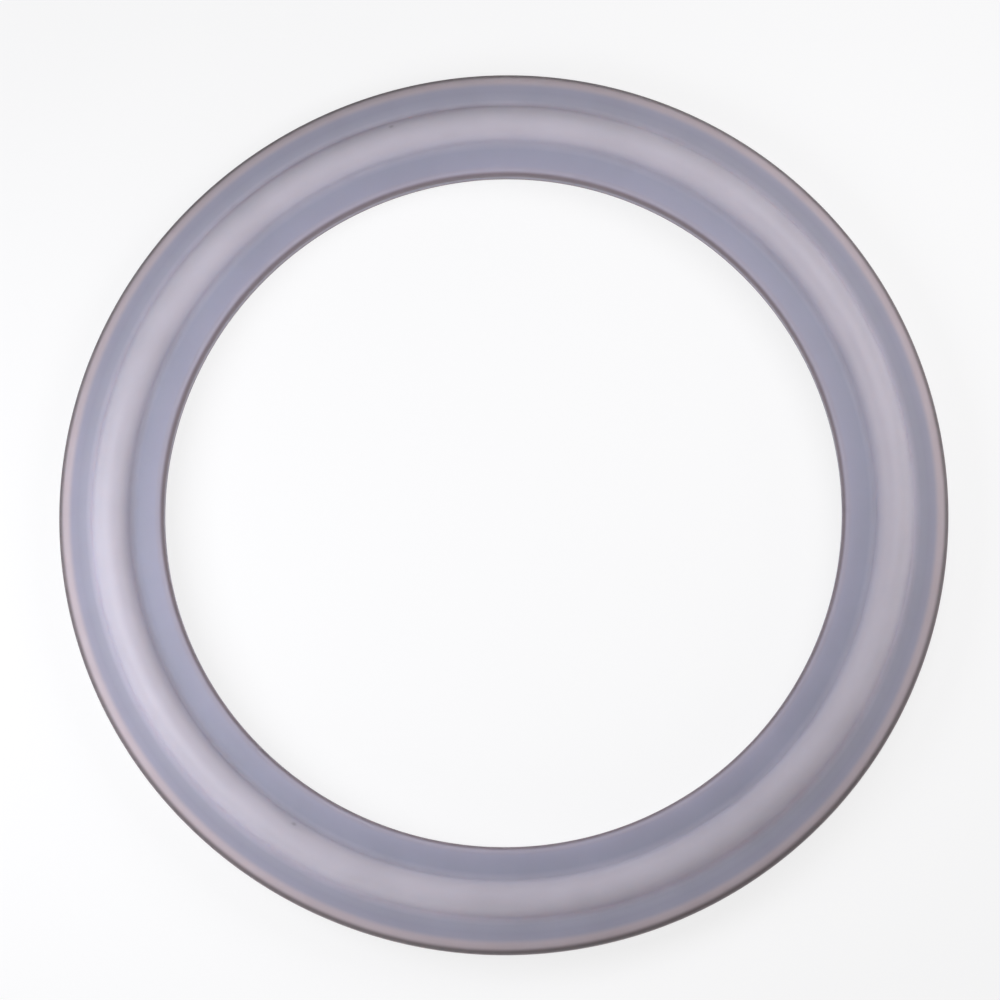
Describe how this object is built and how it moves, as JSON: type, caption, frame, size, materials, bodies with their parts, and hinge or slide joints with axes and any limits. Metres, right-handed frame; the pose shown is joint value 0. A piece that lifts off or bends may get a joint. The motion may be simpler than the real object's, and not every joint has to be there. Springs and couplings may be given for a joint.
{
  "type": "sanitary clamp gasket",
  "caption": "Moulded translucent silicone sealing ring with a flat web and a rounded bead on both faces, for a joint between two grooved sanitary clamp ferrules.",
  "frame": {"origin": "centre of the ring, on the bore axis and half way through the thickness", "axes": "+Z along the bore axis, square to both sealing faces; the ring is the same all round and both ways up, so +X and +Y are any two square directions across it"},
  "size_m": [0.064, 0.064, 0.0046],
  "materials": {
    "silicone_rubber": "satin"
  },
  "bodies": {
    "root": {"gasket": "silicone_rubber"}
  },
  "joints": []
}
